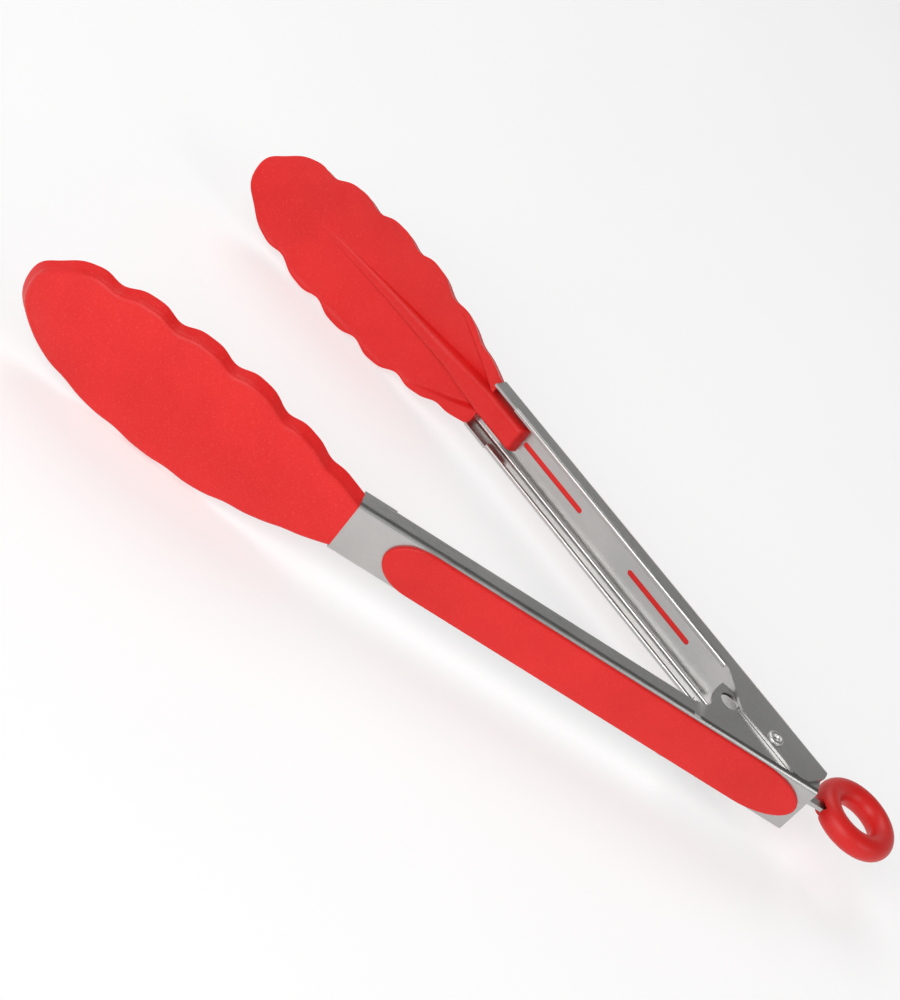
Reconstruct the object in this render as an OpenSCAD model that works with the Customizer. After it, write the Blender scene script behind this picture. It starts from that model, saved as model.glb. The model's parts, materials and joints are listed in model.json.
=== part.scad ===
// Spring loaded kitchen tongs. Two pressed steel channel arms turn on one rivet. Each has a
// silicone grip outside and a silicone scoop at the end. A torsion spring opens them, and a
// flat plate, pulled by the hanging ring, holds them shut. Millimetres, +Z up.
//
// Each arm is drawn in its own frame with the pivot at its origin: u (X) runs towards the
// head, v (Y) runs outwards from the other arm, and z is the height along the rivet.

/* [Arms] */
// Distance from the pivot to the start of a head
arm_length = 120; // [116:1:130]
// Width of an arm across its outer faces
arm_w = 16; // [15.6:0.2:17]
// Distance from an arm's centre line to the outer face of its web
web_v = 10.1; // [9.9:0.1:10.6]
// Height of the flanges' free edges above the centre line
flange_edge = 4.2; // [3.8:0.1:4.6]
// Thickness of the steel
sheet = 0.8; // [0.7:0.05:0.8]
// Outer radius of the bends
bend_r = 1.6; // [1.3:0.1:1.8]
// Radius of the folded free edges
hem_r = 0.78; // [0.7:0.02:0.8]
// Half of the angle between the arms, spring open
half_open = 17.76; // [17.5:0.01:18]
// Angle that the far arm turns to close
closing_angle = 30; // [29:0.5:30.5]

/* [Web slots] */
// Width of the slots in each web
slot_w = 1.6; // [1.2:0.1:2]
// Length of each slot
slot_len = 25; // [22:0.5:27]
// Distance from slot to slot
slot_pitch = 45.3; // [44:0.1:46]
// Middle of the slot nearest the pivot
first_slot_u = 1.7; // [1:0.1:2.5]

/* [Grips] */
// Front end of a grip
grip_front = 108.3; // [106:0.1:112]
// Rear end of a grip
grip_rear = -12.3; // [-12.6:0.1:-11]
// Width of a grip
grip_w = 14; // [12:0.2:14.4]
// Height of a grip above the steel
grip_proud = 1.2; // [0.8:0.1:1.6]

/* [Heads] */
// Length of a head
head_length = 91.6; // [85:0.1:95]
// Full width of a head
head_w = 37.2; // [34:0.1:38]
// Distance between scallops
scallop_pitch = 15.5; // [14.5:0.1:16]
// Depth of the scallops
scallop_depth = 1.8; // [1:0.1:2.4]
// Thickness of a head along its middle
head_thick = 5; // [4.6:0.1:5.6]
// Thickness of the silicone over the core
skin = 1.3; // [1:0.1:1.4]

/* [Pivot and spring] */
// Diameter of the rivet's shank
rivet_d = 3; // [2.8:0.1:3.2]
// Outer diameter of the spacer bush
bush_d = 5.6; // [5.2:0.1:5.8]
// Thickness of the spring's wire
wire_d = 1.1; // [0.9:0.05:1.15]
// Mean diameter of the spring's coil
coil_d = 7.8; // [7.7:0.1:8.2]

/* [Lock and ring] */
// How far the ring pulls the lock plate
lock_travel = 6; // [5.6:0.1:6.2]
// Thickness of the lock plate
lock_thick = 1.2; // [1:0.1:1.2]
// Mean diameter of the ring
ring_d = 17.42; // [17.2:0.02:18]
// Thickness of the ring
ring_thick = 6.72; // [6.5:0.02:6.8]
// Diameter of the flat land in the ring's hole
ring_hole_d = 11.4; // [11.2:0.1:11.6]
// How far the ring hangs below the arm's own plane
ring_droop = 1.7; // [0:0.1:5]

/* [Hidden] */
$fn = 64;

steel_colour = "silver";
red = [0.86, 0.16, 0.15];

// running clearance on the rivet and on the ring's pin
running = 0.05;
web_in = web_v - sheet;
arm_half = arm_w / 2;
flange_in = arm_half - sheet;
closed_angle = 2 * half_open - closing_angle;

// the near arm's ears stand this far in from its outer faces, inside the far arm's ears
ear_step = 0.9;
near_ear_out = arm_half - ear_step;
near_ear_in = near_ear_out - sheet;
joggle_front = 22.4;
joggle_rear = 20.9;
hem_front = arm_length - 9;
hem_rear = 22.8;
hem_fold = 2.4;

// far ear outline
tail = 13.5;
far_slant_front = 21.5;
far_slant_rear = 10.5;
far_ear_low = -3.2;
far_tail_r = 5;
far_tail_u = -8.6;
tail_bulge = 14.4;

// near ear outline: an arc about the pivot, cut off to stay inside the closed far arm
lobe_r = 18.9;
lobe_reach = 8.6;
lobe_turn = asin(lobe_reach / lobe_r) + closed_angle;
lobe_steps = 12;
lobe_hole_r = 2.75;
lobe_hole = [13.5, -4.55];

// heads: the rim leans and curls towards the other head
rim_start = 5.85;
rim_lean = 5.44;
rim_curl = 9.94;
neck_half = 8;
widest_u = arm_length + 43;
scallop_start = arm_length + 6;
scallop_full = arm_length + 20;
scallop_phase = 17.75;
scallop_power = 2.5;
head_steps = 60;
side_steps = 16;
tang_half = 4.1;
tang_v = 6.2;
tang_end = arm_length - 14;
tang_slope = 2.5;
core_short = 6;

// place of the pivot, which puts the origin under the middle of the whole object
ring_pin_u = -23.3;
eye_r = 1.8;
ring_pin_z = lock_thick / 2 - eye_r;
ring_back = 8.3;
ring_shift_v = -0.93;
ring_rise = 0.96;
head_tip_u = arm_length + head_length;
head_tip_v = rim_v(head_tip_u);
front_x = head_tip_u * cos(half_open) - head_tip_v * sin(half_open);
rear_x = (ring_back * cos(ring_droop) - ring_pin_u) * cos(half_open) + ring_shift_v * sin(half_open)
    + (ring_d + ring_thick) / 2;
pivot_x = (front_x - rear_x) / 2;
pivot_z = head_w / 2;

function rim_v(u) = let (s = (u - arm_length) / head_length) rim_start - rim_lean * s - rim_curl * s * s;
function back_v(u) =
    let (s = (u - arm_length) / head_length, start = web_v - rim_start)
    rim_v(u) + start + (head_thick - start) * sin(180 * s);
function envelope(u) =
    u < widest_u
    ? neck_half + (head_w / 2 - neck_half) * sin(90 * (u - arm_length) / (widest_u - arm_length))
    : let (t = min(1, (u - widest_u) / (head_tip_u - widest_u)))
      head_w / 2 * pow(1 - pow(t, 2.6), 1 / 2.4);
function ramp(x, a, b) = max(0, min(1, (x - a) / (b - a)));
function head_half(u) =
    envelope(u) - scallop_depth * ramp(u, scallop_start, scallop_full)
    * pow(0.5 - 0.5 * cos(360 * (u - arm_length - scallop_phase) / scallop_pitch), scallop_power)
    * ramp(envelope(u), 0, 6);

// frames of the two arms, and of the ring on its pin
module near_side() translate([pivot_x, 0, pivot_z]) rotate([0, 0, 180 + half_open]) children();
module far_side()
    translate([pivot_x, 0, pivot_z]) rotate([0, 0, 180 - half_open]) mirror([0, 1, 0]) children();
module ring_side()
    near_side() translate([ring_pin_u, 0, ring_pin_z]) rotate([0, -ring_droop, 0]) children();

// a (v, z) section pushed along the arm
module along_arm(u0, u1) translate([u0, 0, 0]) rotate([90, 0, 90]) linear_extrude(u1 - u0) children();
// a (u, v) outline pushed through a height centred on the arm's middle
module through(height) linear_extrude(height, center = true) children();
// a (u, z) outline pushed outwards from v0 to v1
module outwards(v0, v1) translate([0, v1, 0]) rotate([90, 0, 0]) linear_extrude(v1 - v0) children();
// a round bar across the arm, along v
module across(v0, v1, r) translate([0, v1, 0]) rotate([90, 0, 0]) cylinder(r = r, h = v1 - v0);

// section with two rounded corners on its outer side
module bent_block(v_low, v_top, w, r) {
    translate([v_low, -w / 2]) square([v_top - r - v_low, w]);
    translate([v_low, r - w / 2]) square([v_top - v_low, w - 2 * r]);
    for (s = [-1, 1]) translate([v_top - r, s * (w / 2 - r)]) circle(r);
}
module channel_section(v_low) difference() {
    bent_block(v_low, web_v, arm_w, bend_r);
    bent_block(v_low - 1, web_in, arm_w - 2 * sheet, bend_r - sheet);
}
module hems() {
    bead_v = flange_edge + hem_r;
    for (s = [-1, 1]) along_arm(hem_rear, hem_front) {
        translate([bead_v, s * (arm_half - hem_r)]) circle(hem_r);
        translate([bead_v, s > 0 ? arm_half - 2 * hem_r : -flange_in])
            square([hem_fold - hem_r, 2 * hem_r - sheet]);
    }
}
// straight front part of both arms, seen from the side
module front_outline(u_rear) {
    bead_v = flange_edge + hem_r;
    polygon([
        [u_rear, flange_edge], [hem_rear, flange_edge], [hem_rear, bead_v], [hem_front, bead_v],
        [hem_front, flange_edge], [arm_length, flange_edge], [arm_length, web_v + 1], [u_rear, web_v + 1]
    ]);
}
// the slots start at the web's inner face, so that the far arm's lip stays whole
module web_slots() for (i = [0:2]) outwards(web_in, web_v + 1) slot_outline(i);
module slot_outline(i) translate([first_slot_u + i * slot_pitch, 0]) {
    square([slot_len - slot_w, slot_w], center = true);
    for (s = [-1, 1]) translate([s * (slot_len - slot_w) / 2, 0]) circle(slot_w / 2);
}

module near_ear_outline() {
    polygon(concat(
        [[24, flange_edge], [joggle_front, flange_edge], [far_slant_front, 2.8], [19.3, 1.5]],
        [for (i = [0:lobe_steps]) let (a = 2 - (lobe_turn + 2) * i / lobe_steps) lobe_r * [cos(a), sin(a)]],
        [[7, -7.6], [-5, -4.6], [-8.9, -2.8], [-13.9, 2.2], [-14.8, 3.7], [-tail, web_v + 1], [24, web_v + 1]]
    ));
    translate([-8.9, 2.2]) circle(5);
}
// plan of one joggled flange
module near_ear_plan() polygon([
    [24, arm_half], [joggle_front, arm_half], [joggle_rear, near_ear_out], [-15.2, near_ear_out],
    [-15.2, near_ear_in], [joggle_rear + 0.2, near_ear_in], [joggle_front + 0.2, flange_in], [24, flange_in]
]);
module near_arm_channel() color(steel_colour) near_side() difference() {
    lip_v = web_v - bend_r + 0.25;
    union() {
        intersection() {
            along_arm(joggle_front, arm_length) channel_section(flange_edge);
            through(arm_w + 2) front_outline(joggle_front);
        }
        hems();
        intersection() {
            outwards(-15, web_in + 0.2) for (m = [0, 1]) mirror([0, m]) near_ear_plan();
            through(arm_w + 2) near_ear_outline();
        }
        along_arm(-tail, joggle_front) {
            intersection() {
                channel_section(flange_edge);
                translate([lip_v, -arm_half]) square([web_v, arm_w]);
            }
            for (s = [-1, 1]) translate([lip_v, s > 0 ? near_ear_in : -flange_in - 0.4])
                square([web_in + 0.2 - lip_v, flange_in + 0.4 - near_ear_in]);
        }
    }
    web_slots();
    cylinder(r = rivet_d / 2 + running, h = arm_w + 4, center = true);
    translate(lobe_hole) cylinder(r = lobe_hole_r, h = arm_w + 4, center = true);
}

module far_outline() {
    front_outline(joggle_front);
    polygon([
        [joggle_front, flange_edge], [far_slant_front, flange_edge], [far_slant_rear, far_ear_low],
        [far_tail_u, far_ear_low], [far_tail_u - far_tail_r, far_ear_low + far_tail_r],
        [-tail_bulge, 4.6], [-tail_bulge, 6.6], [-tail, web_in], [-tail, web_v + 1], [joggle_front, web_v + 1]
    ]);
    translate([far_tail_u, far_ear_low + far_tail_r]) circle(far_tail_r);
}
// hook pressed inwards from the web, which the lock plate's barb catches behind
module catch_lip() {
    lip_half = 2;
    through(2 * lip_half) polygon([
        [2.6, web_in + 0.2], [2.6, 5], [6.3, 5], [6.3, 5.8], [3.6, 5.8], [3.6, web_in + 0.2]
    ]);
}
module far_arm_channel() color(steel_colour) far_side() difference() {
    union() {
        intersection() {
            along_arm(-tail_bulge - 0.2, arm_length) channel_section(far_ear_low - 0.2);
            through(arm_w + 2) far_outline();
        }
        hems();
        difference() {
            catch_lip();
            outwards(web_in, web_v + 1) slot_outline(0);
        }
    }
    web_slots();
    cylinder(r = rivet_d / 2, h = arm_w + 4, center = true);
}
// a grip's outline: straight sides, an elliptical nose and a longer elliptical tail
grip_nose = 10;
grip_tail = 14;
module grip_outline() polygon(concat(
    [for (a = [-90:7.5:90]) [grip_front - grip_nose + grip_nose * cos(a), grip_w / 2 * sin(a)]],
    [for (a = [90:7.5:270]) [grip_rear + grip_tail + grip_tail * cos(a), grip_w / 2 * sin(a)]]
));
module grip() {
    outwards(web_v, web_v + grip_proud) grip_outline();
    for (i = [0:2]) outwards(web_in, web_v) slot_outline(i);
}
module near_grip() color(red) near_side() grip();
module far_grip() color(red) far_side() grip();

// a head's solid, drawn in by a margin on every side but the neck
module head_block(inset, u_end) intersection() {
    through(head_w + 4) polygon(concat(
        [for (i = [0:side_steps]) let (u = arm_length + (u_end - arm_length) * i / side_steps)
            [u, rim_v(u) + inset]],
        [for (i = [side_steps:-1:0]) let (u = arm_length + (u_end - arm_length) * i / side_steps)
            [u, back_v(u) - inset]]
    ));
    outwards(-25, 25) polygon(concat(
        [for (i = [0:head_steps]) let (u = arm_length + (u_end - arm_length) * i / head_steps)
            [u, -head_side(u, inset)]],
        [for (i = [head_steps:-1:0]) let (u = arm_length + (u_end - arm_length) * i / head_steps)
            [u, head_side(u, inset)]]
    ));
}
// the core's outline is plain, without the scallops
function head_side(u, inset) = inset == 0 ? head_half(u) : envelope(u + core_short * 0.6) - 2 * inset - 1;
module head_core() {
    head_block(skin, head_tip_u - core_short);
    root_u = arm_length + 3;
    through(2 * tang_half) polygon([
        [root_u, tang_v], [tang_end, tang_v], [tang_end - tang_slope, web_in], [root_u, web_in]
    ]);
}
module head_skin() difference() {
    head_block(0, head_tip_u);
    head_core();
}
module near_head_core() color(red) near_side() head_core();
module near_head_skin() color(red) near_side() head_skin();
module far_head_core() color(red) far_side() head_core();
module far_head_skin() color(red) far_side() head_skin();

// shank with a rolled, hollow head at each end
module pivot_rivet() color("gainsboro") far_side() rotate_extrude() {
    shank_r = rivet_d / 2;
    head_r = 2.3;
    head_h = 0.7;
    polygon([
        [0, -arm_half + 0.2], [shank_r - 0.5, -arm_half - head_h], [head_r - 0.3, -arm_half - head_h],
        [head_r, -arm_half - head_h / 2], [head_r, -arm_half], [shank_r, -arm_half],
        [shank_r, arm_half], [head_r, arm_half], [head_r, arm_half + head_h / 2],
        [head_r - 0.3, arm_half + head_h], [shank_r - 0.5, arm_half + head_h], [0, arm_half - 0.2]
    ]);
}

// spacer between the near arm's ears, with two collars that guide the lock plate
collar_r = 4;
collar_gap = 0.1;
collar_h = 0.4;
module pivot_bush() color("ivory") near_side() rotate_extrude() {
    inner_r = rivet_d / 2 + running;
    translate([inner_r, -near_ear_in]) square([bush_d / 2 - inner_r, 2 * near_ear_in]);
    for (s = [-1, 1]) translate([inner_r, s * (lock_thick / 2 + collar_gap + collar_h / 2) - collar_h / 2])
        square([collar_r - inner_r, collar_h]);
}

// envelope of the spring: its coil, and a leg that bears on each web
coil_turns = 4.25;
coil_z = lock_thick / 2 + collar_gap + collar_h + 0.1;
leg_end = [20, web_in - wire_d / 2 - 0.1];
leg_d = wire_d - 0.1;
module spring_leg(z) {
    reach = norm(leg_end);
    towards = atan2(leg_end[1], leg_end[0]);
    off = acos(coil_d / 2 / reach);
    leg = sqrt(reach * reach - coil_d * coil_d / 4);
    rotate([0, 0, towards + off]) translate([coil_d / 2, 0, z]) rotate([90, 0, 0])
        cylinder(d = leg_d, h = leg);
}
module torsion_spring() color("lightgrey") {
    near_side() {
        rotate_extrude() translate([(coil_d - wire_d) / 2, coil_z]) square([wire_d, coil_turns * wire_d]);
        spring_leg(coil_z + wire_d / 2);
    }
    far_side() spring_leg(coil_z + (coil_turns - 0.5) * wire_d);
}

// flat slide round the bush: a barbed hook in front, an eye rolled down at the back for the ring's pin
plate_half = 4.6;
eye_low = 1.7;
eye_high = 4.3;
strip_low = 1;
barb_v = [-9.2, -7.2];
hook_front = 15;
hook_back = 10.75;
hook_bar = 2.5;
module lock_outline() polygon([
    [ring_pin_u, eye_low], [-14.6, eye_low], [-14.6, strip_low], [-10, strip_low], [-6, -2.3],
    [0, -plate_half], [hook_front - hook_bar, -plate_half], [hook_front - hook_bar, barb_v[1]],
    [hook_back, barb_v[1]], [hook_back, barb_v[0]], [hook_front, barb_v[0]], [hook_front, plate_half],
    [-12.5, plate_half], [-14.6, eye_high], [ring_pin_u, eye_high]
]);
module lock_plate() color("darkgrey") near_side() {
    slot_half = bush_d / 2 + 0.3;
    difference() {
        union() {
            through(lock_thick) difference() {
                lock_outline();
                translate([0, -slot_half]) square([lock_travel, 2 * slot_half]);
                for (u = [0, lock_travel]) translate([u, 0]) circle(slot_half);
            }
            translate([ring_pin_u, 0, ring_pin_z]) across(eye_low, eye_high, eye_r);
        }
        translate([ring_pin_u, 0, ring_pin_z]) across(0, 6, pin_r + running);
    }
}

// ring with a slot in front and below for the lock plate's eye; the pin crosses the slot inside
// the ring's own thickness, and the slot's roof stops the ring from swinging up
pin_r = 0.9;
pin_low = 0.45;
pin_high = 5.55;
slot_clear = 0.1;
slot_back = eye_r + 0.2;
slot_roof = 2.6;
module hang_ring() color(red) ring_side() difference() {
    translate([-ring_back, ring_shift_v, ring_rise]) difference() {
        rotate_extrude($fn = 96) translate([ring_d / 2, 0]) circle(d = ring_thick);
        cylinder(d = ring_hole_d, h = 2 * ring_thick, center = true);
    }
    translate([-slot_back, eye_low - slot_clear, -ring_thick])
        cube([ring_thick, eye_high - eye_low + 2 * slot_clear, ring_thick + slot_roof]);
    across(pin_low, pin_high, pin_r);
}
module ring_pin() color("gainsboro") ring_side() across(pin_low, pin_high, pin_r);

near_arm_channel();
near_grip();
near_head_core();
near_head_skin();
far_arm_channel();
far_grip();
far_head_core();
far_head_skin();
pivot_rivet();
pivot_bush();
torsion_spring();
lock_plate();
hang_ring();
ring_pin();
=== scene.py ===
"""Spring loaded kitchen tongs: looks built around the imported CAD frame."""
import bpy
import bmesh
import json
from math import acos, atan2, cos, hypot, pi, radians, sin
from mathutils import Matrix, Vector


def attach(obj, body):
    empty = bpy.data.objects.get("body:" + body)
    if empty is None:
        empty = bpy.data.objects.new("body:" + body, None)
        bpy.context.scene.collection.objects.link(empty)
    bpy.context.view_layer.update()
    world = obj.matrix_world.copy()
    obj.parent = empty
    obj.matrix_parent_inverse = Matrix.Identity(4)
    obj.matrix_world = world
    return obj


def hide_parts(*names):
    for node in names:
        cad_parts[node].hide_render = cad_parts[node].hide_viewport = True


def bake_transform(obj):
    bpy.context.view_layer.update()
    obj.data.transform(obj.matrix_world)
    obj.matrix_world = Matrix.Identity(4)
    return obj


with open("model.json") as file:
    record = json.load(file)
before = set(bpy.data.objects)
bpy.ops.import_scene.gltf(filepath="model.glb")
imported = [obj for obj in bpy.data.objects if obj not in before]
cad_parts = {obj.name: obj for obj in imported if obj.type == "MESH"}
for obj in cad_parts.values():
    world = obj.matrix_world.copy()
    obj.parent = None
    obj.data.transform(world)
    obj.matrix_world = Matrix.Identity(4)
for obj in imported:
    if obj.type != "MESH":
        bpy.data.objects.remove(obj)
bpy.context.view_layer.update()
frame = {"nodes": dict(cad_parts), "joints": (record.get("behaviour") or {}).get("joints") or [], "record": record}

MM = 0.001
joints = {j["name"]: j for j in frame["joints"]}
pivot = Vector(joints["arm_close"]["pos_m"])
slide_axis = Vector(joints["lock_pull"]["axis"])
half_open = atan2(slide_axis.y, slide_axis.x)

# An arm's own frame: u towards the head, v outwards from the other arm, z up, in mm from the pivot.
# Every length below is in mm, unless a comment says otherwise.
ARMS = {
    "near": (Vector((-cos(half_open), -sin(half_open), 0)),
             Vector((sin(half_open), -cos(half_open), 0))),
    "far": (Vector((-cos(half_open), sin(half_open), 0)),
            Vector((sin(half_open), cos(half_open), 0))),
}
UP = Vector((0, 0, 1))
MERGE_M = 1e-6


def place(side, u, v, z):
    """A point of an arm's own frame, in metres in the row frame."""
    along, outwards = ARMS[side]
    return pivot + (along * u + outwards * v + UP * z) * MM


def arm_box(node, side):
    """Lowest and highest (u, v, z) of a CAD node in an arm's own frame, in mm."""
    along, outwards = ARMS[side]
    rows = [(v.co - pivot) / MM for v in frame["nodes"][node].data.vertices]
    local = [(r.dot(along), r.dot(outwards), r.z) for r in rows]
    return [min(c) for c in zip(*local)], [max(c) for c in zip(*local)]


channel_high = arm_box("near_arm_channel", "near")[1]
skin_high = arm_box("near_head_skin", "near")[1]
grip_low, grip_high = arm_box("near_grip", "near")
ARM_LENGTH = channel_high[0]
WEB_V = channel_high[1]
ARM_HALF = channel_high[2]
SHEET = WEB_V - grip_low[1]
HEAD_TIP = skin_high[0]
HEAD_LENGTH = HEAD_TIP - ARM_LENGTH
HEAD_HALF = skin_high[2]


# ---------------------------------------------------------------- small tools

def clamp(x, low=0.0, high=1.0):
    return max(low, min(high, x))


def smooth(x, low=0.0, high=1.0):
    """Smooth step from 0 at low to 1 at high."""
    t = clamp((x - low) / (high - low))
    return t * t * (3 - 2 * t)


def mix(a, b, t):
    """From a at t = 0 to b at t = 1."""
    return a + (b - a) * t


def soft_min(a, b, width):
    """Lower of two heights, with the corner between them rounded over about width."""
    t = clamp(0.5 + 0.5 * (b - a) / width)
    return b + (a - b) * t - width * t * (1 - t)


def new_object(name, bm, smooth_angle=40):
    """Mesh object from a bmesh, with doubles merged and its normals outwards."""
    bmesh.ops.remove_doubles(bm, verts=bm.verts, dist=MERGE_M)
    bmesh.ops.recalc_face_normals(bm, faces=bm.faces)
    mesh = bpy.data.meshes.new(name)
    bm.to_mesh(mesh)
    bm.free()
    obj = bpy.data.objects.new(name, mesh)
    bpy.context.scene.collection.objects.link(obj)
    mesh.shade_smooth()
    mesh.set_sharp_from_angle(angle=radians(smooth_angle))
    return obj


def skin_rows(bm, rows, closed_rows=False):
    """Quads between rows of points; closed_rows joins each row's end to its start."""
    grid = [[bm.verts.new(p) for p in row] for row in rows]
    for a, b in zip(grid, grid[1:]):
        count = len(a)
        for i in range(count if closed_rows else count - 1):
            k = (i + 1) % count
            bm.faces.new((a[i], a[k], b[k], b[i]))
    return grid


# ------------------------------------------------------------------ materials
# Noise scales are in cycles per metre; bump distances are in metres.

GRAIN_STRETCH = 24
GRAIN_SCALE = 5200
SMEAR_SCALE = 700
STEEL_CLOUD_SCALE = 55
RED_CLOUD_SCALE = 45
WAVE_SCALE = 160
PORE_SCALE = 2250
# Size of the painted glints: light specks that stand in for the fine sparkle of the highlights.
PAINTED_GLINT_SCALE = 2400
DUST_SCALE = 3150
# Colour of the painted glints, a lighter red mixed into the red's own colour.
PAINTED_GLINT_RED = (0.9, 0.12, 0.1)
SILICONE_IOR = 1.38


def shader(name):
    """New node material; returns it, its node tree and its Principled shader."""
    mat = bpy.data.materials.new(name)
    mat.use_nodes = True
    tree = mat.node_tree
    return mat, tree, tree.nodes["Principled BSDF"]


def add(tree, kind, inputs=None, **settings):
    """Adds a node, sets its properties and input values."""
    node = tree.nodes.new(kind)
    for key, value in settings.items():
        setattr(node, key, value)
    for key, value in (inputs or {}).items():
        node.inputs[key].default_value = value
    return node


def noise(tree, vector, scale, detail=3.0, roughness=0.5):
    """Noise texture; returns its grey output."""
    node = add(tree, "ShaderNodeTexNoise", {"Scale": scale, "Detail": detail, "Roughness": roughness})
    tree.links.new(vector, node.inputs["Vector"])
    return node.outputs["Fac"]


def ramp(tree, fac, stops):
    """Colour ramp; stops are (position, grey or rgb)."""
    node = tree.nodes.new("ShaderNodeValToRGB")
    while len(node.color_ramp.elements) < len(stops):
        node.color_ramp.elements.new(0.5)
    for element, (position, colour) in zip(node.color_ramp.elements, stops):
        rgb = (colour,) * 3 if isinstance(colour, (int, float)) else colour
        element.position = position
        element.color = (*rgb, 1)
    tree.links.new(fac, node.inputs["Fac"])
    return node.outputs["Color"]


def bump(tree, bsdf, height, strength, distance, normal=None):
    """Bump on a shader, over an earlier normal if there is one."""
    node = add(tree, "ShaderNodeBump", {"Strength": strength, "Distance": distance})
    tree.links.new(height, node.inputs["Height"])
    if normal:
        tree.links.new(normal, node.inputs["Normal"])
    tree.links.new(node.outputs["Normal"], bsdf.inputs["Normal"])
    return node.outputs["Normal"]


def steel_material(name, turn, colour=(0.52, 0.515, 0.505), rough=0.3):
    """Satin stainless steel, its grain drawn out along the X axis turned by an angle."""
    mat, tree, bsdf = shader(name)
    bsdf.inputs["Metallic"].default_value = 1.0
    coords = tree.nodes.new("ShaderNodeTexCoord")
    mapping = add(tree, "ShaderNodeMapping", vector_type="TEXTURE")
    mapping.inputs["Rotation"].default_value = (0, 0, turn)
    mapping.inputs["Scale"].default_value = (GRAIN_STRETCH, 1, 1)
    tree.links.new(coords.outputs["Object"], mapping.inputs["Vector"])
    grain = noise(tree, mapping.outputs["Vector"], GRAIN_SCALE, detail=2)
    cloud = noise(tree, coords.outputs["Object"], STEEL_CLOUD_SCALE, detail=4)
    smear = noise(tree, mapping.outputs["Vector"], SMEAR_SCALE, detail=3)
    dark = tuple(c * 0.93 for c in colour)
    light = tuple(min(1, c * 1.05) for c in colour)
    tree.links.new(ramp(tree, cloud, [(0.3, dark), (0.7, light)]), bsdf.inputs["Base Color"])
    blend = add(tree, "ShaderNodeMix", {"Factor": 0.45}, data_type="FLOAT")
    tree.links.new(ramp(tree, grain, [(0.3, rough - 0.07), (0.7, rough + 0.09)]), blend.inputs["A"])
    tree.links.new(ramp(tree, smear, [(0.3, rough - 0.03), (0.7, rough + 0.04)]), blend.inputs["B"])
    tree.links.new(blend.outputs["Result"], bsdf.inputs["Roughness"])
    bump(tree, bsdf, grain, 0.12, 0.00004)
    return mat


def red_material(name, colour, rough, pore_strength, painted_glint_share=0.15):
    """Moulded red silicone or nylon: painted glints (sparse light specks in the colour that stand in for the
    sparkle of the highlights), fine pores, slight clouding and handling marks.
    """
    mat, tree, bsdf = shader(name)
    coords = tree.nodes.new("ShaderNodeTexCoord").outputs["Object"]
    cloud = noise(tree, coords, RED_CLOUD_SCALE, detail=4)
    dust = noise(tree, coords, DUST_SCALE, detail=2)
    dark = tuple(c * 0.93 for c in colour)
    light = tuple(min(1, c * 1.05 + 0.004) for c in colour)
    # Painted glints: sparse light specks mixed into the base colour, standing in for the sparkle of the
    # highlights.
    painted_glints = ramp(tree, noise(tree, coords, PAINTED_GLINT_SCALE, detail=1), [(0.58, 0.0), (0.72, painted_glint_share)])
    glint_mix = tree.nodes.new("ShaderNodeMixRGB")
    glint_mix.inputs["Color2"].default_value = (*PAINTED_GLINT_RED, 1)
    tree.links.new(painted_glints, glint_mix.inputs["Fac"])
    tree.links.new(ramp(tree, cloud, [(0.32, dark), (0.68, light)]), glint_mix.inputs["Color1"])
    tree.links.new(glint_mix.outputs["Color"], bsdf.inputs["Base Color"])
    tree.links.new(ramp(tree, dust, [(0.3, rough - 0.05), (0.72, rough + 0.07)]), bsdf.inputs["Roughness"])
    pores = noise(tree, coords, PORE_SCALE, detail=3, roughness=0.7)
    waves = noise(tree, coords, WAVE_SCALE, detail=2)
    normal = bump(tree, bsdf, waves, 0.05, 0.0006)
    bump(tree, bsdf, pores, pore_strength, 0.00012, normal)
    bsdf.inputs["IOR"].default_value = SILICONE_IOR
    return mat


def plastic_material(name, colour, rough):
    """Pale moulded plastic with slight clouding."""
    mat, tree, bsdf = shader(name)
    coords = tree.nodes.new("ShaderNodeTexCoord").outputs["Object"]
    cloud = noise(tree, coords, 220, detail=3)
    dark = tuple(c * 0.9 for c in colour)
    tree.links.new(ramp(tree, cloud, [(0.35, dark), (0.65, colour)]), bsdf.inputs["Base Color"])
    tree.links.new(ramp(tree, cloud, [(0.3, rough - 0.06), (0.7, rough + 0.06)]), bsdf.inputs["Roughness"])
    bump(tree, bsdf, noise(tree, coords, 4000), 0.1, 0.00005)
    return mat


STEEL = {"near": steel_material("near_arm_steel", half_open),
         "far": steel_material("far_arm_steel", -half_open)}
PIN_STEEL = steel_material("pin_steel", 0, (0.6, 0.59, 0.58), 0.42)
SPRING_STEEL = steel_material("spring_steel", 0, (0.42, 0.42, 0.43), 0.3)
# Each red material takes a share of painted glints, light specks that stand in for highlight sparkle.
SILICONE = red_material("red_silicone", (0.66, 0.011, 0.01), 0.42, 0.4)
GRIP_RED = red_material("grip_silicone", (0.64, 0.011, 0.009), 0.42, 0.25, painted_glint_share=0.12)
NYLON = red_material("red_nylon", (0.6, 0.011, 0.009), 0.4, 0.12, painted_glint_share=0.06)
BUSH_PLASTIC = plastic_material("bush_plastic", (0.72, 0.7, 0.63), 0.45)


def paint(obj, material):
    """Makes a material the object's only one."""
    obj.data.materials.clear()
    obj.data.materials.append(material)


# ---------------------------------------------- CAD pieces that keep their shape

BEVEL_ANGLE = 38


def dress(node, material, edge=0.12):
    """New material for a CAD node, and a small radius on its cut edges."""
    obj = frame["nodes"][node]
    paint(obj, material)
    obj.data.shade_smooth()
    weld = obj.modifiers.new("weld", "WELD")
    weld.merge_threshold = MERGE_M
    bevel = obj.modifiers.new("edge", "BEVEL")
    bevel.width = edge * MM
    bevel.segments = 2
    bevel.limit_method = "ANGLE"
    bevel.angle_limit = radians(BEVEL_ANGLE)
    fix = obj.modifiers.new("normals", "WEIGHTED_NORMAL")
    fix.keep_sharp = True


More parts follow.
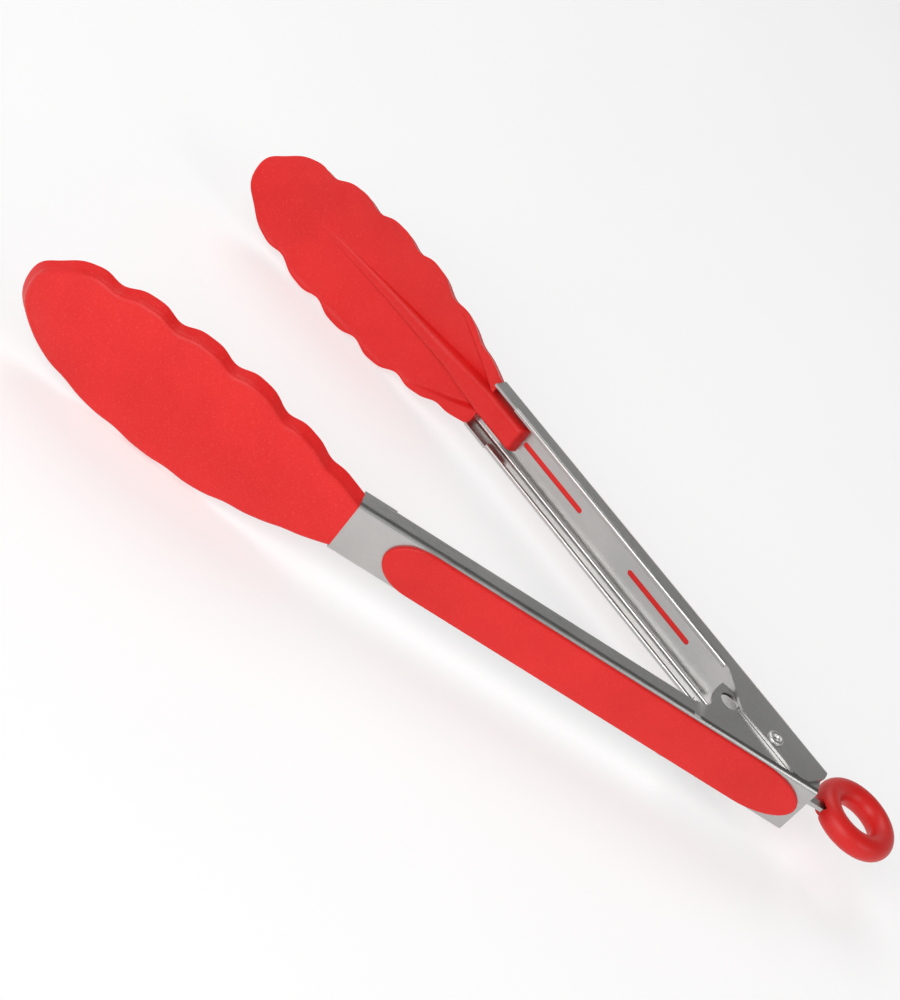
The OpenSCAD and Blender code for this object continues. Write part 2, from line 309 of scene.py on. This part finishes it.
dress("near_arm_channel", STEEL["near"])
dress("far_arm_channel", STEEL["far"])
dress("pivot_bush", BUSH_PLASTIC, 0.1)
dress("lock_plate", STEEL["near"])
dress("ring_pin", PIN_STEEL, 0.1)


# ------------------------------------------------------------------------ heads
# The rim (edge of the scoop that faces the other head) lies on the curve v = rim_v(u).
RIM_START = 5.85
RIM_LEAN = 5.44
RIM_CURL = 9.94
WIDEST = ARM_LENGTH + 43
TIP_POWER = 2.6
TIP_ROOT = 2.4
SCALLOP_PITCH = 15.5
SCALLOP_DEPTH = 1.8
SCALLOP_PHASE = 17.75
SCALLOP_POWER = 1.9
LOWER_SHARE = {"near": 0.55, "far": 1.0}
FAN_CENTRE = HEAD_TIP - 15
FAN_REACH = 25.0
EDGE_R = 1.3
RIM_R = 0.45
WALL_LEAN = 1.4
NOTCH_LEAN = 0.5
NECK_FLARE = 0.5
FLARE_LENGTH = 25
WALL_V = 3.7
CROWN = 1.35
NECK_DEPTH = 3.0
DISH_DEPTH = 2.3
DISH_SLOPE = 0.62


def along_head(u):
    """0 at the neck, 1 at the tip."""
    return (u - ARM_LENGTH) / HEAD_LENGTH


def rim_v(u):
    """How far outwards the rim lies; negative on the other head's side of the pivot's line."""
    s = along_head(u)
    return RIM_START - RIM_LEAN * s - RIM_CURL * s * s


def envelope(u):
    """Half width of the head over its scallops' crests."""
    if u < WIDEST:
        return ARM_HALF + (HEAD_HALF - ARM_HALF) * sin(pi / 2 * (u - ARM_LENGTH) / (WIDEST - ARM_LENGTH))
    t = clamp((u - WIDEST) / (HEAD_TIP - WIDEST))
    return HEAD_HALF * max(0.0, 1 - t ** TIP_POWER) ** (1 / TIP_ROOT)


def wave(u):
    """0 on a scallop's crest, 1 at the bottom of the narrow notch between two scallops."""
    turn = (u - ARM_LENGTH - SCALLOP_PHASE) / SCALLOP_PITCH
    fade = smooth(u, ARM_LENGTH + 4, ARM_LENGTH + 16) * (1 - 0.25 * smooth(u, HEAD_TIP - 14, HEAD_TIP - 4))
    return fade * (0.5 - 0.5 * cos(2 * pi * turn)) ** SCALLOP_POWER


def head_half(u, share=1.0):
    """Half width of the rim, its scallops cut to a share of their depth."""
    flare = NECK_FLARE * (1 - smooth(u, ARM_LENGTH, ARM_LENGTH + FLARE_LENGTH))
    return envelope(u) + flare - SCALLOP_DEPTH * share * wave(u)


def wall_lean(u):
    """How far the side wall leans in from the rim to the back's edge, less in the notches."""
    return WALL_LEAN - NOTCH_LEAN * wave(u)


def side_height(u):
    """Height of the scoop's side wall, from the rim to the back's edge."""
    s = along_head(u)
    return mix(WEB_V - RIM_START, WALL_V, smooth(s, 0, 0.3)) - 0.4 * smooth(s, 0.8, 1)


def crown(u):
    """How far the back stands out along the middle, over its edge."""
    return CROWN * smooth(along_head(u), 0.0, 0.35)


def floor_depth(u):
    """Depth of the scoop's floor under the rim, along the middle."""
    return mix(NECK_DEPTH, DISH_DEPTH, smooth(along_head(u), 0.0, 0.38))


# The dish narrows to a point at the neck, where the rim widens into two flat folds.
LEAF_START = ARM_LENGTH + 1
LEAF_FULL = ARM_LENGTH + 27
LEAF_TIP_HALF = 3.4
LEAF_MARGIN = 1.2
FOLD_HALF = 0.8


def leaf_half(u):
    """Half width of the dish near the neck."""
    t = clamp((u - LEAF_START) / (LEAF_FULL - LEAF_START))
    return mix(LEAF_TIP_HALF, head_half(LEAF_FULL) + LEAF_MARGIN, t ** 0.9)


def half_outline(share):
    """Points (u, z) of one edge, from the neck to the tip."""
    points = []
    straight = 150
    for i in range(straight + 1):
        u = mix(ARM_LENGTH, FAN_CENTRE, i / straight)
        points.append((u, head_half(u, share)))
    turns = 40
    for i in range(1, turns + 1):
        points.append(fan_point(pi / 2 * (1 - i / turns), share))
    return points


def head_outline(lower_share):
    """Points (u, z) from the neck's upper side round the tip to its lower side."""
    upper, lower = half_outline(1.0), half_outline(lower_share)
    return upper + [(u, -z) for u, z in reversed(lower[:-1])]


def fan_point(angle, share):
    """Outline point on the ray from the fan's centre at an angle from the head's axis."""
    low, high = 0.0, FAN_REACH
    for _ in range(40):
        r = (low + high) / 2
        u, z = FAN_CENTRE + r * cos(angle), r * sin(angle)
        inside = u < HEAD_TIP and z < head_half(u, share)
        low, high = (r, high) if inside else (low, r)
    return FAN_CENTRE + low * cos(angle), low * sin(angle)


def head_row(outline, inset, height, share=0.0):
    """The outline drawn in by inset(u), then by a share of the way left to the spine, at a height."""
    row = []
    for u, z in outline:
        spine = min(u, FAN_CENTRE)
        reach = hypot(u - spine, z)
        start = inset(u)
        q = min(reach, start + share * (reach - start))
        k = q / reach
        row.append((mix(u, spine, k), height(mix(u, spine, k), mix(z, 0, k), q, reach), mix(z, 0, k)))
    return row


def inner_face(u, z, q, reach):
    """The scoop's floor: a dish with a soft edge, which flattens into two folds at the neck."""
    dish = floor_depth(u) * (1 - 0.85 * (1 - q / reach) ** 2)
    depth = soft_min(dish, DISH_SLOPE * q + 0.1, 0.35)
    fold = 0.22 + 0.07 * q
    inside = 1 - smooth(abs(z), leaf_half(u) - FOLD_HALF, leaf_half(u) + FOLD_HALF)
    return rim_v(u) + mix(min(depth, fold), depth, inside)


def outer_face(u, z, q, reach):
    """The scoop's back, slightly crowned."""
    inset = WALL_LEAN + EDGE_R
    x = clamp((q - inset) / max(0.01, reach - inset))
    return rim_v(u) + side_height(u) + crown(u) * (1 - (1 - x) ** 2)


def make_head(side):
    """Scoop: floor, rim, side wall, rounded edge and back, as rows round the spine."""
    outline = head_outline(LOWER_SHARE[side])
    rows = []
    inner_steps = 60
    for i in range(inner_steps + 1):
        rows.append(head_row(outline, lambda u: RIM_R, inner_face, 1 - i / inner_steps))
    rim_steps = 3
    for i in range(1, rim_steps + 1):
        turn = pi / 2 * i / rim_steps
        inset = RIM_R * (1 - sin(turn))
        rise = 0.1 + 0.62 * RIM_R * cos(turn) + RIM_R * (1 - cos(turn)) * 0.6
        rows.append(head_row(outline, lambda u, w=inset: w, lambda u, z, q, reach, r=rise: rim_v(u) + r))
    wall_steps = 5
    wall_foot = 0.1 + 0.6 * RIM_R
    for i in range(1, wall_steps + 1):
        rows.append(head_row(
            outline, lambda u, k=i / wall_steps: wall_lean(u) * k,
            lambda u, z, q, reach, k=i / wall_steps: rim_v(u) + mix(wall_foot, side_height(u) - EDGE_R, k)))
    edge_steps = 5
    for i in range(1, edge_steps + 1):
        turn = pi / 2 * i / edge_steps
        rows.append(head_row(
            outline, lambda u, t=turn: wall_lean(u) + EDGE_R * (1 - cos(t)),
            lambda u, z, q, reach, t=turn: rim_v(u) + side_height(u) - EDGE_R * (1 - sin(t))))
    outer_steps = 26
    for i in range(1, outer_steps + 1):
        rows.append(head_row(outline, lambda u: wall_lean(u) + EDGE_R, outer_face, i / outer_steps))

    bm = bmesh.new()
    skin_rows(bm, [[place(side, *p) for p in row] for row in rows])
    bmesh.ops.remove_doubles(bm, verts=bm.verts, dist=2 * MERGE_M)
    bmesh.ops.holes_fill(bm, edges=[e for e in bm.edges if e.is_boundary])
    obj = new_object(side + "_scoop", bm, 50)
    paint(obj, SILICONE)
    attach(obj, side + "_arm")
    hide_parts(side + "_head_skin")


def rounded_prism(bm, side, outline, v_low, v_high, edge, steps=3, dome=0.0):
    """Closed plate: an outline in (u, z), flat at v_low, with a rounded edge and a dome at v_high."""
    half = max(abs(p[1]) for p in outline)
    rows = [[(u, v_low, z) for u, z in outline], [(u, v_high - edge, z) for u, z in outline]]

    def drawn_in(q, v):
        row = []
        for i, (u, z) in enumerate(outline):
            a, b = outline[i - 1], outline[(i + 1) % len(outline)]
            tu, tz = b[0] - a[0], b[1] - a[1]
            size = hypot(tu, tz)
            row.append((u - tz / size * q, v, z + tu / size * q))
        return row

    for i in range(1, steps + 1):
        turn = pi / 2 * i / steps
        rows.append(drawn_in(edge * (1 - cos(turn)), v_high - edge * (1 - sin(turn))))
    spine_low = min(p[0] for p in outline) + half
    spine_high = max(p[0] for p in outline) - half
    rim = rows[-1]
    crown_steps = 6
    for i in range(1, crown_steps + 1):
        k = i / crown_steps
        rows.append([(mix(u, clamp(u, spine_low, spine_high), k), v + dome * (1 - (1 - k) ** 2), z * (1 - k))
                     for u, v, z in rim])
    skin_rows(bm, [[place(side, *p) for p in row] for row in rows], closed_rows=True)
    bottom = [bm.verts.new(place(side, *p)) for p in rows[0]]
    bm.faces.new(bottom)


def stadium(u_low, u_high, half, nose_low, nose_high, steps):
    """Outline with straight sides and elliptical ends, clockwise as seen from outside the arm."""
    high = [(u_high - nose_high + nose_high * cos(a), half * sin(a))
            for a in (mix(-pi / 2, pi / 2, i / steps) for i in range(steps + 1))]
    low = [(u_low + nose_low + nose_low * cos(a), half * sin(a))
           for a in (mix(pi / 2, 3 * pi / 2, i / steps) for i in range(steps + 1))]
    sides = 24
    top = [(mix(high[-1][0], low[0][0], i / sides), half) for i in range(1, sides)]
    bottom = [(mix(low[-1][0], high[0][0], i / sides), -half) for i in range(1, sides)]
    return high + top + low + bottom


# ------------------------------------------------------------------------ grips
SLOT_MIDDLES = (1.7, 47.0, 92.3)
SLOT_LENGTH = 25.0
SLOT_HALF = 0.8
TAIL_NOSE = 14
HEAD_NOSE = 10
PAD_EDGE = 0.6
PAD_DOME = 0.15
FIT = 0.02


def make_grip(side):
    """Pad on the web's outer face, and the three ribs seen through the web's slots."""
    bm = bmesh.new()
    pad = stadium(grip_low[0], grip_high[0], grip_high[2], TAIL_NOSE, HEAD_NOSE, 18)
    rounded_prism(bm, side, pad, WEB_V, grip_high[1] - PAD_DOME, PAD_EDGE, steps=4, dome=PAD_DOME)
    for middle in SLOT_MIDDLES:
        slot = stadium(middle - SLOT_LENGTH / 2, middle + SLOT_LENGTH / 2, SLOT_HALF - FIT,
                       SLOT_HALF, SLOT_HALF, 6)
        slot.reverse()
        rounded_prism(bm, side, slot, WEB_V - 0.01, WEB_V - SHEET - FIT, -0.12, steps=2, dome=-0.03)
    obj = new_object(side + "_grip_pad", bm)
    paint(obj, GRIP_RED)
    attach(obj, side + "_arm")
    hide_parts(side + "_grip")


# ------------------------------------------------------------- tangs and midribs
TANG_HALF = 4.1
TANG_V = 5.2
TANG_END = ARM_LENGTH - 14.6
TANG_SQUARE = 4.5
TANG_ROUND = 1.3
RIDGE_LENGTH = 72.0
RIDGE_SQUARE = 2.2


def ridge_section(u):
    """Half width, top, foot and squareness of the core's bar: a tang, then a midrib that dies out."""
    run = clamp((u - ARM_LENGTH) / RIDGE_LENGTH)
    half = mix(TANG_HALF, 1.0, run ** 0.75)
    if u < ARM_LENGTH:
        foot = WEB_V - SHEET - FIT
        lift = clamp((u - TANG_END) / TANG_ROUND)
        top = foot - (foot - TANG_V) * (1 - (1 - lift) ** 2.6)
        return half, top, foot, TANG_SQUARE
    floor_v = rim_v(u) + floor_depth(u)
    top = floor_v - (RIM_START + floor_depth(ARM_LENGTH) - TANG_V) * (1 - run) ** 1.35
    return half, top, floor_v + 0.5, mix(TANG_SQUARE, RIDGE_SQUARE, smooth(run, 0, 0.25))


def make_core(side):
    """The core's visible bar: a tang in the channel, running out into the midrib on the scoop's floor."""
    bm = bmesh.new()
    stations = [TANG_END + TANG_ROUND * (i / 6) ** 2 for i in range(7)]
    stations += [mix(TANG_END + TANG_ROUND, ARM_LENGTH - 0.01, i / 10) for i in range(1, 11)]
    stations += [mix(ARM_LENGTH, ARM_LENGTH + RIDGE_LENGTH, i / 70) for i in range(1, 71)]
    rows = []
    for u in stations:
        half, top, foot, power = ridge_section(u)
        section = [(foot, half * 0.98)]
        for k in range(25):
            a = pi / 2 - pi * k / 24
            z = half * abs(sin(a)) ** (2 / power) * (1 if sin(a) > 0 else -1)
            section.append((foot - max(0.01, foot - top) * abs(cos(a)) ** (2 / power) - 0.005, z))
        section.append((foot, -half * 0.98))
        rows.append([place(side, u, v, z) for v, z in section])
    grid = skin_rows(bm, rows, closed_rows=True)
    bm.faces.new(list(reversed(grid[0])))
    bm.faces.new(grid[-1])
    obj = new_object(side + "_core_bar", bm, 60)
    paint(obj, SILICONE)
    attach(obj, side + "_arm")
    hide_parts(side + "_head_core")


# ------------------------------------------------------------------------ rivet
# Half profile (radius, height over the ear) of a rolled head with a dimple.
RIVET_HEAD = [(0, -0.25), (0.55, -0.22), (0.85, -0.05), (1.0, 0.25), (1.18, 0.55), (1.5, 0.7),
              (1.85, 0.66), (2.12, 0.48), (2.28, 0.22), (2.3, 0.02), (2.2, 0), (1.5, 0)]


def make_rivet():
    """Shank with a rolled, dimpled head at each end."""
    profile = [(r, ARM_HALF + z) for r, z in RIVET_HEAD]
    profile += [(r, -z) for r, z in reversed(profile)]
    around = 48
    rows = [[pivot + Vector((r * cos(a), r * sin(a), z)) * MM for r, z in profile]
            for a in (2 * pi * i / around for i in range(around))]
    bm = bmesh.new()
    skin_rows(bm, rows + [rows[0]])
    obj = new_object("rolled_rivet", bm, 70)
    paint(obj, PIN_STEEL)
    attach(obj, "far_arm")
    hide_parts("pivot_rivet")


# ----------------------------------------------------------------------- spring
WIRE_R = 0.5
COIL_R = 3.9
COIL_LOW = 1.75
COIL_HIGH = 5.325
COIL_TURNS = 3
LEG_END = (20.0, 8.6)
LEG_STEPS = 8


def make_spring():
    """Coil round the bush; its lower leg bears on the near arm and its upper leg on the far arm."""
    reach = hypot(*LEG_END)
    touch = atan2(LEG_END[1], LEG_END[0]) + acos(COIL_R / reach)
    start = pi + half_open + touch
    end = pi - half_open - touch
    sweep = (end - start) % (2 * pi) + COIL_TURNS * 2 * pi
    lower = place("near", *LEG_END, COIL_LOW)
    upper = place("far", *LEG_END, COIL_HIGH)
    path = [lower.lerp(coil_point(start, COIL_LOW), i / LEG_STEPS) for i in range(LEG_STEPS)]
    count = 32 * COIL_TURNS
    path += [coil_point(start + sweep * i / count, mix(COIL_LOW, COIL_HIGH, i / count))
             for i in range(count + 1)]
    path += [coil_point(end, COIL_HIGH).lerp(upper, i / LEG_STEPS) for i in range(1, LEG_STEPS + 1)]
    bm = bmesh.new()
    rows = []
    for i, point in enumerate(path):
        ahead = path[min(i + 1, len(path) - 1)] - path[max(i - 1, 0)]
        side_way = ahead.cross(UP).normalized()
        up_way = side_way.cross(ahead).normalized()
        rows.append([point + (side_way * cos(a) + up_way * sin(a)) * WIRE_R * MM
                     for a in (2 * pi * k / 12 for k in range(12))])
    grid = skin_rows(bm, rows, closed_rows=True)
    bm.faces.new(list(reversed(grid[0])))
    bm.faces.new(grid[-1])
    obj = new_object("spring_wire", bm)
    paint(obj, SPRING_STEEL)
    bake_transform(obj)
    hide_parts("torsion_spring")


def coil_point(angle, z):
    """Point of the coil's centre line."""
    return pivot + Vector((COIL_R * cos(angle), COIL_R * sin(angle), z)) * MM


# ------------------------------------------------------------------------- ring
ring_pivot = Vector(joints["ring_swing"]["pos_m"])
hang_hole = frame["record"]["mounts"][0]
TUBE_R = 3.36
RING_R = 8.71
# The slot for the lock plate's eye, measured from the pin: across, behind and above.
SLOT_LOW = 1.6
SLOT_HIGH = 4.4
SLOT_BACK = 2.0
SLOT_ROOF = 2.6


def cut_away(obj, corners):
    """Takes the box with these eight corners out of an object's mesh."""
    bm = bmesh.new()
    bmesh.ops.convex_hull(bm, input=[bm.verts.new(c) for c in corners])
    mesh = bpy.data.meshes.new("cutter")
    bm.to_mesh(mesh)
    bm.free()
    cutter = bpy.data.objects.new("cutter", mesh)
    bpy.context.scene.collection.objects.link(cutter)
    cut = obj.modifiers.new("cut", "BOOLEAN")
    cut.object = cutter
    cut.operation = "DIFFERENCE"
    cut.solver = "EXACT"
    graph = bpy.context.evaluated_depsgraph_get()
    result = bpy.data.meshes.new_from_object(obj.evaluated_get(graph))
    obj.modifiers.clear()
    obj.data = result
    bpy.data.objects.remove(cutter)
    bpy.data.meshes.remove(mesh)


def make_ring():
    """Ring in its own plane, with a slot where the lock plate's eye takes hold of the pin."""
    normal = Vector(hang_hole["axis"]).normalized()
    across = ARMS["near"][1]
    forward = across.cross(normal).normalized()
    centre = Vector(hang_hole["pos_m"])
    bm = bmesh.new()
    around = 128
    rows = []
    for i in range(around):
        a = 2 * pi * i / around
        out = forward * cos(a) + across * sin(a)
        rows.append([centre + (out * (RING_R + TUBE_R * cos(b)) + normal * TUBE_R * sin(b)) * MM
                     for b in (2 * pi * k / 48 for k in range(48))])
    skin_rows(bm, rows + [rows[0]], closed_rows=True)
    obj = new_object("pull_ring", bm)
    cut_away(obj, [ring_pivot + (forward * f + across * v + normal * n) * MM
                   for f in (-SLOT_BACK, 2 * TUBE_R) for v in (SLOT_LOW, SLOT_HIGH)
                   for n in (-2 * TUBE_R, SLOT_ROOF)])
    obj.data.shade_smooth()
    obj.data.set_sharp_from_angle(angle=radians(40))
    paint(obj, NYLON)
    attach(obj, "ring")
    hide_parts("hang_ring")


for arm in ("near", "far"):
    make_head(arm)
    make_grip(arm)
    make_core(arm)
make_rivet()
make_spring()
make_ring()


# ------------------------------------------------------------- floor and light

FLOOR_HALF_M = 3.0
FLOOR_GLOW = 0.52
# Name, direction towards the light, distance and size in metres, power in watts.
LIGHTS = [
    ("key", (-0.32, -1.0, 0.72), 1.2, 1.0, 9.6),
    ("rear", (-0.7, 0.7, 1.2), 1.5, 1.0, 7.0),
    ("side", (1.0, -0.5, 0.7), 1.2, 0.6, 2.5),
]
AIM = Vector((0, 0, 0.02))


def add_floor():
    """Pale floor with a slight glow of its own, which keeps the shadows light."""
    bm = bmesh.new()
    bmesh.ops.create_grid(bm, x_segments=2, y_segments=2, size=FLOOR_HALF_M)
    mesh = bpy.data.meshes.new("floor")
    bm.to_mesh(mesh)
    bm.free()
    floor = bpy.data.objects.new("floor", mesh)
    bpy.context.scene.collection.objects.link(floor)
    mat, tree, bsdf = shader("pale_floor")
    coords = tree.nodes.new("ShaderNodeTexCoord").outputs["Object"]
    shade = ramp(tree, noise(tree, coords, 3), [(0.3, 0.48), (0.7, 0.51)])
    tree.links.new(shade, bsdf.inputs["Base Color"])
    bsdf.inputs["Roughness"].default_value = 0.8
    bsdf.inputs["Emission Color"].default_value = (1, 1, 1, 1)
    bsdf.inputs["Emission Strength"].default_value = FLOOR_GLOW
    paint(floor, mat)


def add_area(name, direction, distance, size, power):
    """Soft white light from a direction, aimed at the middle of the object."""
    light = bpy.data.lights.new(name, "AREA")
    light.shape = "DISK"
    light.size = size
    light.energy = power
    obj = bpy.data.objects.new(name, light)
    bpy.context.scene.collection.objects.link(obj)
    way = Vector(direction).normalized()
    obj.location = AIM + way * distance
    obj.rotation_euler = way.to_track_quat("Z", "Y").to_euler()


def add_world():
    """Bright walls and a dark ceiling, which gives the steel's flat faces and bends their contrast."""
    world = bpy.data.worlds.new("studio")
    bpy.context.scene.world = world
    world.use_nodes = True
    tree = world.node_tree
    background = tree.nodes["Background"]
    coords = tree.nodes.new("ShaderNodeTexCoord")
    split = tree.nodes.new("ShaderNodeSeparateXYZ")
    tree.links.new(coords.outputs["Generated"], split.inputs["Vector"])
    sky = ramp(tree, split.outputs["Z"], [(0.0, 0.8), (0.3, 0.5), (0.55, 0.3), (0.8, 0.08)])
    tree.links.new(sky, background.inputs["Color"])
    background.inputs["Strength"].default_value = 1.0


add_floor()
add_world()
for light_row in LIGHTS:
    add_area(*light_row)
bpy.context.scene.view_settings.view_transform = "Standard"


# ----------------------------------------------------------------------- camera
LENS = 74.04
SENSOR = 36
CAMERA_FROM_PIVOT = Vector((-66.30, -439.77, 270.45))
CAMERA_BACK = Vector((0.0640, -0.8469, 0.5279))
CAMERA_UP = Vector((-0.6674, 0.3570, 0.6536))


def add_camera():
    """Camera at the photograph's place and angle."""
    data = bpy.data.cameras.new("camera")
    data.lens = LENS
    data.sensor_width = SENSOR
    data.clip_start = 0.01
    camera = bpy.data.objects.new("camera", data)
    bpy.context.scene.collection.objects.link(camera)
    back = CAMERA_BACK.normalized()
    right = CAMERA_UP.cross(back).normalized()
    up = back.cross(right)
    turn = Matrix((right, up, back)).transposed().to_4x4()
    camera.matrix_world = Matrix.Translation(pivot + CAMERA_FROM_PIVOT * MM) @ turn
    bpy.context.scene.camera = camera


add_camera()
